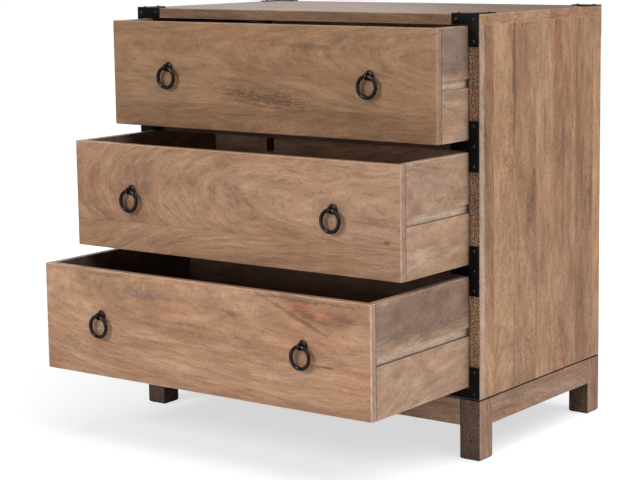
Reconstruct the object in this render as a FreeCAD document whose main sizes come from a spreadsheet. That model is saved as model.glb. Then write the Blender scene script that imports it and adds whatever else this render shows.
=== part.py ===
import FreeCAD, Part
import os
from math import pi
from types import SimpleNamespace
import Sketcher

# Three-drawer dresser with iron corner straps and ring pulls
# Millimetres, +Z up, the fronts face -Y. The origin lies on the floor, under the
# middle of the object as it stands, with its three drawers pulled out by steps.

doc = FreeCAD.newDocument("dresser")

# Driving dimensions
sizes = {
    "carcass_width": 813.0,
    "carcass_depth": 452.0,
    "base_height": 114.5,
    "top_thickness": 19.0,
    "side_thickness": 22.0,
    "bottom_thickness": 22.0,
    "back_thickness": 10.0,
    "rail_thickness": 19.0,
    "rail_depth": 45.0,
    "edge_round": 1.5,
    "shadow_bevel": 2.0,
    "leg_width": 44.0,
    "leg_round": 2.0,
    "foot_chamfer": 3.5,
    "base_rail_height": 51.0,
    "base_rail_thickness": 18.0,
    "base_rail_setback": 1.0,
    "drawer_height": 204.0,
    "drawer_gap_vertical": 1.8,
    "drawer_gap_side": 2.0,
    "drawer_rear_gap": 30.0,
    "front_thickness": 15.0,
    "front_round": 3.0,
    "drawer_side_thickness": 15.0,
    "drawer_back_thickness": 12.0,
    "drawer_bottom_thickness": 6.0,
    "drawer_bottom_lift": 12.0,
    "panel_groove_depth": 5.0,
    "panel_groove_play": 0.2,
    "runner_height": 16.4,
    "runner_groove_depth": 8.0,
    "runner_play": 0.3,
    "stop_width": 12.0,
    "stop_thickness": 8.0,
    "stop_drop": 32.0,
    "stop_offset": 110.0,
    "open_top": 100.0,
    "open_middle": 214.0,
    "open_bottom": 306.0,
    "strap_thickness": 2.0,
    "strap_margin": 0.8,
    "stile_strap_width": 20.6,
    "rail_strap_width": 18.4,
    "corner_arm": 58.0,
    "tee_height": 92.0,
    "tee_arm": 61.0,
    "bottom_arm": 68.0,
    "bottom_rise": 61.0,
    "nail_radius": 3.2,
    "nail_height": 1.8,
    "nail_inset": 9.5,
    "pull_spacing": 476.0,
    "pull_rise": 15.2,
    "boss_radius": 9.8,
    "boss_rim": 1.5,
    "boss_depth": 5.8,
    "eye_reach": 10.0,
    "eye_drop": 0.6,
    "eye_radius": 6.6,
    "eye_thickness": 5.0,
    "ring_radius": 19.5,
    "ring_rod_radius": 3.5,
    "ring_play": 0.5,
    "screw_radius": 2.0,
    "screw_play": 0.15,
    "screw_bite": 5.0,
    "screw_head_radius": 4.5,
    "screw_head_height": 2.4,
}

sheet = doc.addObject("Spreadsheet::Sheet", "Dims")
for row, (alias, number) in enumerate(sizes.items(), start=1):
    sheet.set(f"A{row}", alias)
    sheet.set(f"B{row}", str(number))
    sheet.setAlias(f"B{row}", alias)
doc.recompute()


class Size:
    """A number, kept with the formula that gives it from the sheet."""

    def __init__(self, number, formula):
        self.number = number
        self.formula = formula

    def __float__(self):
        return self.number

    def __neg__(self):
        return Size(-self.number, f"(-{self.formula})")

    def __add__(self, other):
        return Size(self.number + float(other), f"({self.formula} + {formula_of(other)})")

    def __sub__(self, other):
        return Size(self.number - float(other), f"({self.formula} - {formula_of(other)})")

    def __mul__(self, other):
        return Size(self.number * float(other), f"({self.formula} * {formula_of(other)})")

    def __truediv__(self, other):
        return Size(self.number / float(other), f"({self.formula} / {formula_of(other)})")

    def __radd__(self, other):
        return self + other

    def __rsub__(self, other):
        return -self + other

    def __rmul__(self, other):
        return self * other


def formula_of(amount):
    return amount.formula if isinstance(amount, Size) else str(amount)


dims = SimpleNamespace(**{alias: Size(number, f"Dims.{alias}") for alias, number in sizes.items()})

# Heights and planes that several pieces share
half_width = dims.carcass_width / 2
inner_width = dims.carcass_width - 2 * dims.side_thickness
carcass_rear = dims.strap_thickness + dims.nail_height
pull_front = dims.eye_reach + dims.eye_radius
front_plane = -(dims.carcass_depth + carcass_rear - dims.open_bottom - pull_front) / 2
drawer_pitch = dims.drawer_height + 2 * dims.drawer_gap_vertical + dims.rail_thickness
first_drawer = dims.base_height + dims.bottom_thickness + dims.drawer_gap_vertical
top_underside = first_drawer + 2 * drawer_pitch + dims.drawer_height + dims.drawer_gap_vertical
top_surface = top_underside + dims.top_thickness
drawer_width = inner_width - 2 * dims.drawer_gap_side
inner_depth = dims.carcass_depth - dims.back_thickness
drawer_depth = inner_depth - dims.drawer_rear_gap
runner_groove_height = dims.runner_height + 2 * dims.runner_play
pull_x = dims.pull_spacing / 2
middle_plane = front_plane + dims.carcass_depth / 2
side_height = top_underside - dims.base_height


def rail_middle(level):
    """Height of the middle of the rail under a drawer, counted from the bottom one."""
    return first_drawer + level * drawer_pitch - dims.drawer_gap_vertical - dims.rail_thickness / 2


def place(obj, x, y, z):
    """Bind the place of a piece to formulas of the sizes."""
    obj.setExpression("Placement.Base.x", formula_of(x))
    obj.setExpression("Placement.Base.y", formula_of(y))
    obj.setExpression("Placement.Base.z", formula_of(z))


def origin_plane(body, role):
    return next(f for f in body.Origin.OriginFeatures if f.Role == role)


def new_body(label, x, y, z):
    body = doc.addObject("PartDesign::Body", label)
    body.Label = label
    place(body, x, y, z)
    return body


def new_sketch(body, name, role):
    sketch = body.newObject("Sketcher::SketchObject", f"{body.Name}_{name}")
    sketch.AttachmentSupport = [(origin_plane(body, role), "")]
    sketch.MapMode = "FlatFace"
    return sketch


def hold(sketch, direction, geometry, end, amount):
    """Hold one coordinate of a point of a sketch at a size."""
    index = sketch.addConstraint(Sketcher.Constraint(direction, -1, 1, geometry, end, float(amount)))
    sketch.setExpression(f"Constraints[{index}]", formula_of(amount))


def pin(sketch, geometry, end, x, y):
    hold(sketch, "DistanceX", geometry, end, x)
    hold(sketch, "DistanceY", geometry, end, y)


def polygon(sketch, points):
    """Closed outline through points, each given as two formulas."""
    spots = [FreeCAD.Vector(float(x), float(y), 0) for x, y in points]
    for start, end in zip(spots, spots[1:] + spots[:1]):
        sketch.addGeometry(Part.LineSegment(start, end), False)
    for index in range(len(points)):
        after = (index + 1) % len(points)
        sketch.addConstraint(Sketcher.Constraint("Coincident", index, 2, after, 1))
    for index, (x, y) in enumerate(points):
        pin(sketch, index, 1, x, y)


def circle(sketch, x, y, radius):
    centre = FreeCAD.Vector(float(x), float(y), 0)
    index = sketch.addGeometry(Part.Circle(centre, FreeCAD.Vector(0, 0, 1), float(radius)), False)
    size = sketch.addConstraint(Sketcher.Constraint("Radius", index, float(radius)))
    sketch.setExpression(f"Constraints[{size}]", formula_of(radius))
    pin(sketch, index, 3, x, y)


def pad(body, sketch, length, reverse=False, centred=False):
    feature = body.newObject("PartDesign::Pad", f"{sketch.Name}_pad")
    feature.Profile = sketch
    feature.setExpression("Length", formula_of(length))
    feature.Reversed = reverse
    feature.Midplane = centred
    return feature


def pocket_through(body, sketch, both_ways=False):
    """Cut a sketch right through, and see that the body lost volume."""
    doc.recompute()
    before = body.Shape.Volume
    feature = body.newObject("PartDesign::Pocket", f"{sketch.Name}_pocket")
    feature.Profile = sketch
    feature.Type = "ThroughAll"
    feature.Midplane = both_ways
    doc.recompute()
    assert body.Shape.Volume < before, f"{sketch.Name} cuts nothing"
    return feature


def box_of(body, kind, name, size, corner=(0, 0, 0)):
    feature = body.newObject(f"PartDesign::{kind}", f"{body.Name}_{name}")
    for side, formula in zip(("Length", "Width", "Height"), size):
        feature.setExpression(side, formula_of(formula))
    place(feature, *corner)
    return feature


def cut_box(body, name, size, corner):
    doc.recompute()
    before = body.Shape.Volume
    feature = box_of(body, "SubtractiveBox", name, size, corner)
    doc.recompute()
    assert body.Shape.Volume < before, f"{feature.Name} cuts nothing"
    return feature


def edge_names(shape, wanted):
    return [f"Edge{i}" for i, edge in enumerate(shape.Edges, start=1) if wanted(edge)]


def soften(body, kind, size, wanted):
    """Round or bevel the chosen edges of the body as it stands."""
    doc.recompute()
    base = body.Tip
    feature = body.newObject(f"PartDesign::{kind}", f"{body.Name}_{kind.lower()}")
    feature.Base = (base, edge_names(base.Shape, wanted))
    feature.setExpression("Radius" if kind == "Fillet" else "Size", formula_of(size))
    return feature


def runs_along(edge, axis):
    if edge.Curve.TypeId != "Part::GeomLine":
        return False
    return abs(edge.Curve.Direction.dot(axis)) > 0.99


def along_z(edge):
    return runs_along(edge, FreeCAD.Vector(0, 0, 1))


def at_height(edge, level):
    return all(abs(v.Point.z - level) < 0.01 for v in edge.Vertexes)


def board(label, size, corner):
    """Plain board: a box body, with its low corner at the given place."""
    body = new_body(label, *corner)
    box_of(body, "AdditiveBox", "board", size)
    return body


def mirrored(label, source, normal, base_y=0):
    """Opposite-handed twin of a piece, across the middle of the dresser."""
    twin = doc.addObject("Part::Mirroring", label)
    twin.Label = label
    twin.Source = source
    twin.Normal = normal
    twin.setExpression("Base.y", formula_of(base_y))
    return twin


left_right = FreeCAD.Vector(1, 0, 0)
front_rear = FreeCAD.Vector(0, 1, 0)
parts = []


def keep(*pieces):
    parts.extend(pieces)


# Carcass: top board over two side panels, with the bottom, back and rails between them
def make_carcass():
    top = board("top_board", (dims.carcass_width, dims.carcass_depth, dims.top_thickness),
                (-half_width, front_plane, top_underside))
    thickness = float(dims.top_thickness)
    soften(top, "Fillet", dims.edge_round, lambda e: along_z(e) or at_height(e, thickness))

    side = board("side_panel_left", (dims.side_thickness, dims.carcass_depth, side_height),
                 (-half_width, front_plane, dims.base_height))
    soften(side, "Chamfer", dims.shadow_bevel,
           lambda e: at_height(e, 0) and all(v.Point.x < 0.01 for v in e.Vertexes))
    soften(side, "Fillet", dims.edge_round,
           lambda e: along_z(e) and all(v.Point.x < 0.01 for v in e.Vertexes))
    keep(top, side, mirrored("side_panel_right", side, left_right))

    bottom = board("bottom_board", (inner_width, inner_depth, dims.bottom_thickness),
                   (-inner_width / 2, front_plane, dims.base_height))
    soften(bottom, "Chamfer", dims.shadow_bevel,
           lambda e: at_height(e, 0) and all(v.Point.y < 0.01 for v in e.Vertexes))
    back = board("back_panel", (inner_width, dims.back_thickness, side_height),
                 (-inner_width / 2, front_plane + inner_depth, dims.base_height))
    keep(bottom, back)

    for level, label in ((1, "divider_rail_lower"), (2, "divider_rail_upper")):
        rail = board(label, (inner_width, dims.rail_depth, dims.rail_thickness),
                     (-inner_width / 2, front_plane, rail_middle(level) - dims.rail_thickness / 2))
        soften(rail, "Fillet", dims.edge_round,
               lambda e: runs_along(e, left_right) and all(v.Point.y < 0.01 for v in e.Vertexes))
        keep(rail)


# Base: four square legs with rails tenoned flush between them
def make_base():
    leg = board("leg_front_left", (dims.leg_width, dims.leg_width, dims.base_height),
                (-half_width, front_plane, 0))
    height = float(dims.base_height)
    soften(leg, "Chamfer", dims.foot_chamfer, lambda e: at_height(e, 0))
    soften(leg, "Chamfer", dims.edge_round, lambda e: at_height(e, height))
    soften(leg, "Fillet", dims.leg_round, along_z)
    rear_leg = mirrored("leg_rear_left", leg, front_rear, middle_plane)
    keep(leg, rear_leg, mirrored("leg_front_right", leg, left_right),
         mirrored("leg_rear_right", rear_leg, left_right))

    level = dims.base_height - dims.base_rail_height
    rise = float(dims.base_rail_height)
    front_length = dims.carcass_width - 2 * dims.leg_width
    front = board("base_rail_front", (front_length, dims.base_rail_thickness, dims.base_rail_height),
                  (-half_width + dims.leg_width, front_plane + dims.base_rail_setback, level))
    soften(front, "Chamfer", dims.edge_round,
           lambda e: at_height(e, rise) and all(v.Point.y < 0.01 for v in e.Vertexes))
    side_length = dims.carcass_depth - 2 * dims.leg_width
    side = board("base_rail_left", (dims.base_rail_thickness, side_length, dims.base_rail_height),
                 (-half_width + dims.base_rail_setback, front_plane + dims.leg_width, level))
    soften(side, "Chamfer", dims.edge_round,
           lambda e: at_height(e, rise) and all(v.Point.x < 0.01 for v in e.Vertexes))
    keep(front, mirrored("base_rail_rear", front, front_rear, middle_plane), side,
         mirrored("base_rail_right", side, left_right))


# Iron straps, each drawn from the corner of the carcass that it holds
def make_straps():
    outer = dims.strap_margin
    inner = dims.strap_margin + dims.stile_strap_width
    corner = new_body("corner_bracket_front_left", -half_width, front_plane, top_surface)
    face = new_sketch(corner, "face", "XZ_Plane")
    polygon(face, ((outer, 0), (dims.corner_arm, 0), (dims.corner_arm, -dims.rail_strap_width),
                   (inner, -dims.rail_strap_width), (inner, -dims.corner_arm), (outer, -dims.corner_arm)))
    pad(corner, face, dims.strap_thickness)
    lid = new_sketch(corner, "lid", "XY_Plane")
    polygon(lid, ((outer, -dims.strap_thickness), (dims.corner_arm, -dims.strap_thickness),
                  (dims.corner_arm, dims.rail_strap_width), (inner, dims.rail_strap_width),
                  (inner, dims.corner_arm), (outer, dims.corner_arm)))
    pad(corner, lid, dims.strap_thickness)
    rear = mirrored("corner_bracket_rear_left", corner, front_rear, middle_plane)
    keep(corner, rear, mirrored("corner_bracket_front_right", corner, left_right),
         mirrored("corner_bracket_rear_right", rear, left_right))

    for level, name in ((1, "lower"), (2, "upper")):
        tee = new_body(f"tee_bracket_{name}_left", -half_width, front_plane, rail_middle(level))
        face = new_sketch(tee, "face", "XZ_Plane")
        half = dims.rail_strap_width / 2
        polygon(face, ((outer, -dims.tee_height / 2), (inner, -dims.tee_height / 2), (inner, -half),
                       (dims.tee_arm, -half), (dims.tee_arm, half), (inner, half),
                       (inner, dims.tee_height / 2), (outer, dims.tee_height / 2)))
        pad(tee, face, dims.strap_thickness)
        keep(tee, mirrored(f"tee_bracket_{name}_right", tee, left_right))

    ell = new_body("bottom_bracket_left", -half_width, front_plane, dims.base_height)
    face = new_sketch(ell, "face", "XZ_Plane")
    low = dims.shadow_bevel
    shelf = dims.shadow_bevel + dims.rail_strap_width
    polygon(face, ((outer, low), (dims.bottom_arm, low), (dims.bottom_arm, shelf), (inner, shelf),
                   (inner, dims.bottom_rise), (outer, dims.bottom_rise)))
    pad(ell, face, dims.strap_thickness)
    keep(ell, mirrored("bottom_bracket_right", ell, left_right))


# Domed nails: one head, copied to every hole of the straps
def nail_head():
    body = new_body("nail_head_master", 0, 0, 0)
    sketch = new_sketch(body, "profile", "XZ_Plane")
    radius = float(dims.nail_radius)
    rise = float(dims.nail_height)
    centre_z = (rise * rise - radius * radius) / (2 * rise)
    centre = FreeCAD.Vector(0, centre_z, 0)
    ball = Part.Circle(centre, FreeCAD.Vector(0, 0, 1), rise - centre_z)
    start = ball.parameter(FreeCAD.Vector(radius, 0, 0))
    end = ball.parameter(FreeCAD.Vector(0, rise, 0))
    sketch.addGeometry(Part.ArcOfCircle(ball, start, end), False)
    sketch.addGeometry(Part.LineSegment(FreeCAD.Vector(0, rise, 0), FreeCAD.Vector(0, 0, 0)), False)
    sketch.addGeometry(Part.LineSegment(FreeCAD.Vector(0, 0, 0), FreeCAD.Vector(radius, 0, 0)), False)
    sketch.addConstraint(Sketcher.Constraint("Coincident", 0, 2, 1, 1))
    sketch.addConstraint(Sketcher.Constraint("Coincident", 1, 2, 2, 1))
    sketch.addConstraint(Sketcher.Constraint("Coincident", 2, 2, 0, 1))
    sketch.addConstraint(Sketcher.Constraint("PointOnObject", 0, 3, -2))
    pin(sketch, 1, 1, 0, dims.nail_height)
    pin(sketch, 2, 1, 0, 0)
    pin(sketch, 0, 1, dims.nail_radius, 0)
    turn = body.newObject("PartDesign::Revolution", f"{body.Name}_dome")
    turn.Profile = sketch
    turn.ReferenceAxis = (sketch, ["V_Axis"])
    turn.Angle = 360
    return body


def make_nails():
    head = nail_head()
    doc.recompute()
    inset = float(dims.nail_inset)
    stile = float(dims.strap_margin + dims.stile_strap_width / 2)
    rail = float(dims.rail_strap_width / 2)
    edge = float(half_width)
    face_y = float(front_plane - dims.strap_thickness)
    rear_y = float(front_plane + dims.carcass_depth + dims.strap_thickness)
    lid_z = float(top_surface + dims.strap_thickness)
    corner = float(dims.corner_arm)
    to_front = FreeCAD.Rotation(FreeCAD.Vector(1, 0, 0), 90)
    to_rear = FreeCAD.Rotation(FreeCAD.Vector(1, 0, 0), -90)
    upright = FreeCAD.Rotation()
    spots = []
    for side in (-1, 1):
        top = float(top_surface)
        corner_face = (corner - inset, top - rail), (stile, top - rail), (stile, top - corner + inset)
        for reach, height in corner_face:
            spots.append((side * (edge - reach), face_y, height, to_front))
            spots.append((side * (edge - reach), rear_y, height, to_rear))
        front, depth = float(front_plane), float(dims.carcass_depth)
        for reach, back in ((corner - inset, rail), (stile, rail), (stile, corner - inset)):
            spots.append((side * (edge - reach), front + back, lid_z, upright))
            spots.append((side * (edge - reach), front + depth - back, lid_z, upright))
        for level in (1, 2):
            middle = float(rail_middle(level))
            swing = float(dims.tee_height / 2) - inset
            for reach, height in ((stile, middle + swing), (stile, middle), (stile, middle - swing),
                                  (float(dims.tee_arm) - inset, middle)):
                spots.append((side * (edge - reach), face_y, height, to_front))
        low = float(dims.base_height + dims.shadow_bevel) + rail
        for reach, height in ((stile, float(dims.base_height + dims.bottom_rise) - inset), (stile, low),
                              (float(dims.bottom_arm) - inset, low)):
            spots.append((side * (edge - reach), face_y, height, to_front))
    solids = []
    for x, y, z, turn in spots:
        solid = head.Shape.copy()
        solid.Placement = FreeCAD.Placement(FreeCAD.Vector(x, y, z), turn)
        solids.append(solid)
    nails = doc.addObject("Part::Feature", "bracket_nails")
    nails.Label = "bracket_nails"
    nails.Shape = Part.makeCompound(solids)
    keep(nails)


# Side runners: black battens on which the drawers' grooves ride
def make_runners():
    start = front_plane + dims.front_thickness + dims.runner_play
    length = dims.carcass_depth - dims.back_thickness - dims.front_thickness - dims.runner_play
    width = dims.drawer_gap_side + dims.runner_groove_depth - dims.runner_play
    for level, name in enumerate(("bottom", "middle", "top")):
        height = first_drawer + level * drawer_pitch + (dims.drawer_height - dims.runner_height) / 2
        runner = board(f"runner_{name}_left", (width, length, dims.runner_height),
                       (-inner_width / 2, start, height))
        keep(runner, mirrored(f"runner_{name}_right", runner, left_right))


# Drawer stops: round-ended tongues behind the rails that catch the drawer's back board
def make_stops():
    tongues = []
    for level, name in enumerate(("bottom", "middle", "top")):
        ceiling = first_drawer + level * drawer_pitch + dims.drawer_height + dims.drawer_gap_vertical
        rise = dims.rail_thickness if name != "top" else 0
        rear = front_plane + dims.rail_depth + dims.stop_thickness
        body = new_body(f"stop_{name}", -dims.stop_offset, rear, ceiling)
        sketch = new_sketch(body, "outline", "XZ_Plane")
        radius = dims.stop_width / 2
        low = -(dims.stop_drop + dims.drawer_gap_vertical) + radius
        corners = (-radius, low), (-radius, rise), (radius, rise), (radius, low)
        spots = [FreeCAD.Vector(float(x), float(y), 0) for x, y in corners]
        for start, end in zip(spots, spots[1:]):
            sketch.addGeometry(Part.LineSegment(start, end), False)
        nose = Part.Circle(FreeCAD.Vector(0, float(low), 0), FreeCAD.Vector(0, 0, 1), float(radius))
        sketch.addGeometry(Part.ArcOfCircle(nose, pi, 2 * pi), False)
        for index in range(2):
            sketch.addConstraint(Sketcher.Constraint("Coincident", index, 2, index + 1, 1))
        sketch.addConstraint(Sketcher.Constraint("Coincident", 3, 1, 0, 1))
        sketch.addConstraint(Sketcher.Constraint("Coincident", 3, 2, 2, 2))
        for index, (x, y) in enumerate(corners[:3]):
            pin(sketch, index, 1, x, y)
        pin(sketch, 2, 2, *corners[3])
        hold(sketch, "DistanceY", 3, 3, low)
        pad(body, sketch, dims.stop_thickness)
        tongues.append(body)
    stops = doc.addObject("Part::Compound", "drawer_stops")
    stops.Label = "drawer_stops"
    stops.Links = tongues
    keep(stops)


# Ring pull: a domed boss with an eye, the ring that hangs in it, and its screw
def make_boss(label, x, y, z):
    boss = new_body(label, x, y, z)
    dome = new_sketch(boss, "dome", "XY_Plane")
    radius = float(dims.boss_radius)
    rim = float(dims.boss_rim)
    depth = float(dims.boss_depth)
    bulge = depth - rim
    ball_radius = (radius * radius + bulge * bulge) / (2 * bulge)
    centre = FreeCAD.Vector(0, ball_radius - depth, 0)
    ball = Part.Circle(centre, FreeCAD.Vector(0, 0, 1), ball_radius)
    corners = [FreeCAD.Vector(0, -depth, 0), FreeCAD.Vector(0, 0, 0), FreeCAD.Vector(radius, 0, 0),
               FreeCAD.Vector(radius, -rim, 0)]
    for start, end in zip(corners, corners[1:]):
        dome.addGeometry(Part.LineSegment(start, end), False)
    arc = Part.ArcOfCircle(ball, ball.parameter(corners[0]), ball.parameter(corners[3]))
    dome.addGeometry(arc, False)
    dome.addConstraint(Sketcher.Constraint("Coincident", 0, 2, 1, 1))
    dome.addConstraint(Sketcher.Constraint("Coincident", 1, 2, 2, 1))
    dome.addConstraint(Sketcher.Constraint("Coincident", 2, 2, 3, 2))
    dome.addConstraint(Sketcher.Constraint("Coincident", 3, 1, 0, 1))
    dome.addConstraint(Sketcher.Constraint("PointOnObject", 3, 3, -2))
    pin(dome, 0, 1, 0, -dims.boss_depth)
    pin(dome, 1, 1, 0, 0)
    pin(dome, 2, 1, dims.boss_radius, 0)
    pin(dome, 2, 2, dims.boss_radius, -dims.boss_rim)
    turn = boss.newObject("PartDesign::Revolution", f"{boss.Name}_turn")
    turn.Profile = dome
    turn.ReferenceAxis = (dome, ["V_Axis"])
    turn.Angle = 360

    eye = new_sketch(boss, "eye", "YZ_Plane")
    root = -dims.boss_rim
    high = dims.eye_radius - dims.eye_drop
    low = -dims.eye_radius - dims.eye_drop
    corners = (root, high), (-dims.eye_reach, high), (-dims.eye_reach, low), (root, low)
    spots = [FreeCAD.Vector(float(a), float(b), 0) for a, b in corners]
    centre = FreeCAD.Vector(-float(dims.eye_reach), -float(dims.eye_drop), 0)
    nose = Part.Circle(centre, FreeCAD.Vector(0, 0, 1), float(dims.eye_radius))
    eye.addGeometry(Part.LineSegment(spots[0], spots[1]), False)
    eye.addGeometry(Part.ArcOfCircle(nose, pi / 2, 3 * pi / 2), False)
    eye.addGeometry(Part.LineSegment(spots[2], spots[3]), False)
    eye.addGeometry(Part.LineSegment(spots[3], spots[0]), False)
    eye.addConstraint(Sketcher.Constraint("Coincident", 0, 2, 1, 1))
    eye.addConstraint(Sketcher.Constraint("Coincident", 1, 2, 2, 1))
    eye.addConstraint(Sketcher.Constraint("Coincident", 2, 2, 3, 1))
    eye.addConstraint(Sketcher.Constraint("Coincident", 3, 2, 0, 1))
    pin(eye, 0, 1, *corners[0])
    pin(eye, 0, 2, *corners[1])
    pin(eye, 2, 1, *corners[2])
    pin(eye, 2, 2, *corners[3])
    hold(eye, "DistanceX", 1, 3, -dims.eye_reach)
    pad(boss, eye, dims.eye_thickness, centred=True)

    hole = new_sketch(boss, "hole", "YZ_Plane")
    circle(hole, -dims.eye_reach, -dims.eye_drop, dims.ring_rod_radius + dims.ring_play)
    pocket_through(boss, hole, both_ways=True)

    bore = new_sketch(boss, "bore", "XZ_Plane")
    circle(bore, 0, 0, dims.screw_radius + dims.screw_play)
    doc.recompute()
    before = boss.Shape.Volume
    thread = boss.newObject("PartDesign::Pocket", f"{boss.Name}_thread")
    thread.Profile = bore
    thread.Reversed = True
    thread.setExpression("Length", formula_of(dims.screw_bite + dims.screw_play))
    doc.recompute()
    assert boss.Shape.Volume < before, "the screw bore cuts nothing"
    return boss


def make_screw(label, x, y, z):
    """Pan-head screw from inside the drawer, through the front, into the boss."""
    screw = new_body(label, x, y, z)
    head = new_sketch(screw, "head", "XZ_Plane")
    circle(head, 0, 0, dims.screw_head_radius)
    pad(screw, head, dims.screw_head_height, reverse=True)
    shank = new_sketch(screw, "shank", "XZ_Plane")
    circle(shank, 0, 0, dims.screw_radius)
    pad(screw, shank, dims.front_thickness + dims.screw_bite)
    soften(screw, "Fillet", dims.screw_play,
           lambda e: all(abs(v.Point.y - float(dims.screw_head_height)) < 0.01 for v in e.Vertexes))
    return screw


def make_ring(label, side, y, z):
    ring = doc.addObject("Part::Torus", label)
    ring.Label = label
    ring.setExpression("Radius1", formula_of(dims.ring_radius))
    ring.setExpression("Radius2", formula_of(dims.ring_rod_radius))
    ring.Placement.Rotation = FreeCAD.Rotation(FreeCAD.Vector(1, 0, 0), 90)
    place(ring, side * pull_x, y - dims.eye_reach, z - dims.eye_drop - dims.ring_radius)
    return ring


def pair(label, left):
    both = doc.addObject("Part::Compound", label)
    both.Label = label
    both.Links = [left, mirrored(f"{label}_twin", left, left_right)]
    return both


# Drawer: front board over grooved sides, with the back and bottom let in between them
def make_drawer(name, level, opening):
    face = front_plane - opening
    low = first_drawer + level * drawer_pitch
    centre = low + dims.drawer_height / 2 + dims.pull_rise

    front = board(f"drawer_{name}_front", (drawer_width, dims.front_thickness, dims.drawer_height),
                  (-drawer_width / 2, face, low))
    inside = drawer_width - 2 * dims.drawer_side_thickness
    groove = dims.panel_groove_depth
    groove_height = dims.drawer_bottom_thickness + dims.panel_groove_play
    cut_box(front, "panel_groove", (inside + 2 * groove, groove, groove_height),
            (dims.drawer_side_thickness - groove, dims.front_thickness - groove, dims.drawer_bottom_lift))
    holes = new_sketch(front, "holes", "XZ_Plane")
    for side in (-1, 1):
        circle(holes, drawer_width / 2 + side * pull_x, dims.drawer_height / 2 + dims.pull_rise,
               dims.screw_radius + dims.screw_play)
    pocket_through(front, holes)
    soften(front, "Fillet", dims.front_round,
           lambda e: along_z(e) and all(v.Point.y < 0.01 for v in e.Vertexes))
    soften(front, "Fillet", dims.edge_round,
           lambda e: len(e.Vertexes) == 2 and runs_along(e, left_right)
           and all(v.Point.y < 0.01 for v in e.Vertexes))

    side = board(f"drawer_{name}_side_left",
                 (dims.drawer_side_thickness, drawer_depth - dims.front_thickness, dims.drawer_height),
                 (-drawer_width / 2, face + dims.front_thickness, low))
    cut_box(side, "runner_groove",
            (dims.runner_groove_depth, drawer_depth, runner_groove_height),
            (0, 0, (dims.drawer_height - runner_groove_height) / 2))
    cut_box(side, "panel_groove", (groove, drawer_depth, groove_height),
            (dims.drawer_side_thickness - groove, 0, dims.drawer_bottom_lift))
    soften(side, "Fillet", dims.edge_round,
           lambda e: runs_along(e, front_rear) and at_height(e, float(dims.drawer_height)))
    other = mirrored(f"drawer_{name}_side_right", side, left_right)

    play = dims.panel_groove_play
    bottom = board(f"drawer_{name}_bottom",
                   (inside + 2 * groove - 2 * play, drawer_depth - dims.front_thickness + groove - play,
                    dims.drawer_bottom_thickness),
                   (-inside / 2 - groove + play, face + dims.front_thickness - groove + play,
                    low + dims.drawer_bottom_lift))
    floor = dims.drawer_bottom_lift + dims.drawer_bottom_thickness
    back = board(f"drawer_{name}_back", (inside, dims.drawer_back_thickness, dims.drawer_height - floor),
                 (-inside / 2, face + drawer_depth - dims.drawer_back_thickness, low + floor))
    keep(front, side, other, bottom, back)

    boss = make_boss(f"boss_{name}", -pull_x, face, centre)
    screw = make_screw(f"screw_{name}", -pull_x, face + dims.front_thickness, centre)
    keep(pair(f"pull_bosses_{name}", boss), pair(f"pull_screws_{name}", screw))
    for side_sign, hand in ((-1, "left"), (1, "right")):
        keep(make_ring(f"pull_ring_{name}_{hand}", side_sign, face, centre))


make_carcass()
make_base()
make_straps()
make_nails()
make_runners()
make_stops()
for drawer_level, drawer_name in enumerate(("bottom", "middle", "top")):
    make_drawer(drawer_name, drawer_level, getattr(dims, f"open_{drawer_name}"))

doc.recompute()
failed = [o.Name for o in doc.Objects if "Invalid" in o.State or "Error" in o.State]
assert not failed, f"failed features: {failed}"
for piece in parts:
    assert not piece.Shape.isNull() and piece.Shape.isValid(), f"bad shape: {piece.Label}"
assert len({piece.Label for piece in parts}) == len(parts), "two pieces share a label"

os.makedirs("parts", exist_ok=True)
for piece in parts:
    piece.Shape.exportStep(os.path.join("parts", f"{piece.Label}.step"))
print(f"{len(parts)} pieces, {sum(len(p.Shape.Solids) for p in parts)} solids")
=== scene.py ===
import math
import bmesh
import bpy
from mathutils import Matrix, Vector


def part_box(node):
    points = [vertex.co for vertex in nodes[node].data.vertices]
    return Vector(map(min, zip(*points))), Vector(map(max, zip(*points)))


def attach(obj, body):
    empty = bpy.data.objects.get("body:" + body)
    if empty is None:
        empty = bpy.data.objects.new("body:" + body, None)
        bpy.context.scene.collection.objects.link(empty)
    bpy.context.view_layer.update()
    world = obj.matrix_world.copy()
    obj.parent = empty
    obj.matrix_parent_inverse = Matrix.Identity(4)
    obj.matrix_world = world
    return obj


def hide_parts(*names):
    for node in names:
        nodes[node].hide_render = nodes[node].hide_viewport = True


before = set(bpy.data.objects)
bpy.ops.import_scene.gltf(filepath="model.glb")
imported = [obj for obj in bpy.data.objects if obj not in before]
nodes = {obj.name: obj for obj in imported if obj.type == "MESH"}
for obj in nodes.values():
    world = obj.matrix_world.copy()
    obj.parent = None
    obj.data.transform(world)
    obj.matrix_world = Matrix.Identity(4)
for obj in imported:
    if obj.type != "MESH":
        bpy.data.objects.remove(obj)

scene = bpy.context.scene
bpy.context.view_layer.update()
print("frame loaded:", len(nodes), "nodes")

drawerNames = ("bottom", "middle", "top")
hands = ("left", "right")
spots = ("front", "rear")
levels = ("lower", "upper")

# Camera: to the front right of the object, at the height of its top

camera = {
    "place": (2.1324, -2.8225, 0.95),
    "turnDegrees": (81.7655, 0.5064, 34.9777),
    "lens": 102.885,
    "sensor": 36,
    "shiftX": -0.10156,
    "shiftY": -0.05712,
    "clipStart": 0.05,
}


def makeCamera():
    data = bpy.data.cameras.new("viewCamera")
    data.lens = camera["lens"]
    data.sensor_width = camera["sensor"]
    data.shift_x = camera["shiftX"]
    data.shift_y = camera["shiftY"]
    data.clip_start = camera["clipStart"]
    obj = bpy.data.objects.new("viewCamera", data)
    obj.location = camera["place"]
    obj.rotation_euler = [math.radians(a) for a in camera["turnDegrees"]]
    scene.collection.objects.link(obj)
    scene.camera = obj


makeCamera()
print("camera set")


# Node trees: a socket is given either a value or another socket

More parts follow.
